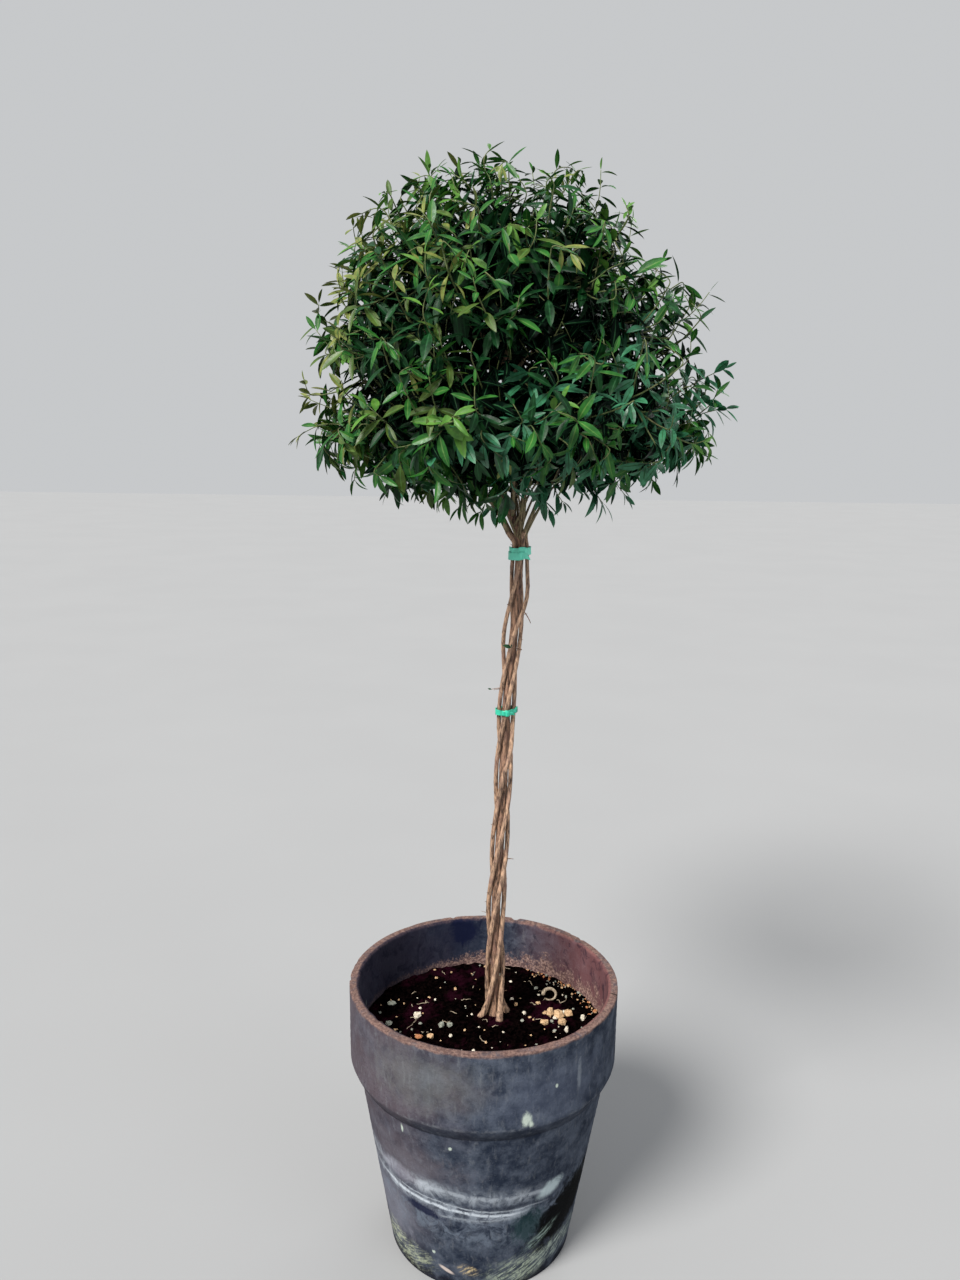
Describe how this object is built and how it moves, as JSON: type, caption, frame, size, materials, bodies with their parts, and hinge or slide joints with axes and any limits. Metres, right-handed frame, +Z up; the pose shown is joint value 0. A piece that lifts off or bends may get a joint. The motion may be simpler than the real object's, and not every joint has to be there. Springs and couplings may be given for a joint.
{
  "type": "potted myrtle standard topiary",
  "caption": "Small-leaved evergreen trained as a standard: a dome of leafy shoots on twisted, taped stems, growing from soil in a tapered clay pot with a deep collar",
  "frame": {"origin": "middle of the pot's flat underside", "axes": "Z is up along the pot's axis, X is to the right and Y away from the viewer as in the picture"},
  "size_m": [0.2394, 0.2287, 0.631],
  "materials": {
    "clay": "matte",
    "soil": "matte",
    "bark": "matte",
    "tape": "satin",
    "foliage": "satin"
  },
  "bodies": {
    "root": {"pot": "clay", "soil": "soil", "main_stem": "bark", "thin_stem_1": "bark", "thin_stem_2": "bark", "thin_stem_3": "bark", "thin_stem_4": "bark", "tie_upper": "tape", "tie_lower": "tape", "bough_low_1": "bark", "foliage_low_1": "foliage", "bough_low_2": "bark", "foliage_low_2": "foliage", "bough_low_3": "bark", "foliage_low_3": "foliage", "bough_low_4": "bark", "foliage_low_4": "foliage", "bough_low_5": "bark", "foliage_low_5": "foliage", "bough_low_6": "bark", "foliage_low_6": "foliage", "bough_high_1": "bark", "foliage_high_1": "foliage", "bough_high_2": "bark", "foliage_high_2": "foliage", "bough_high_3": "bark", "foliage_high_3": "foliage", "bough_high_4": "bark", "foliage_high_4": "foliage", "foliage_top": "foliage"}
  },
  "joints": []
}
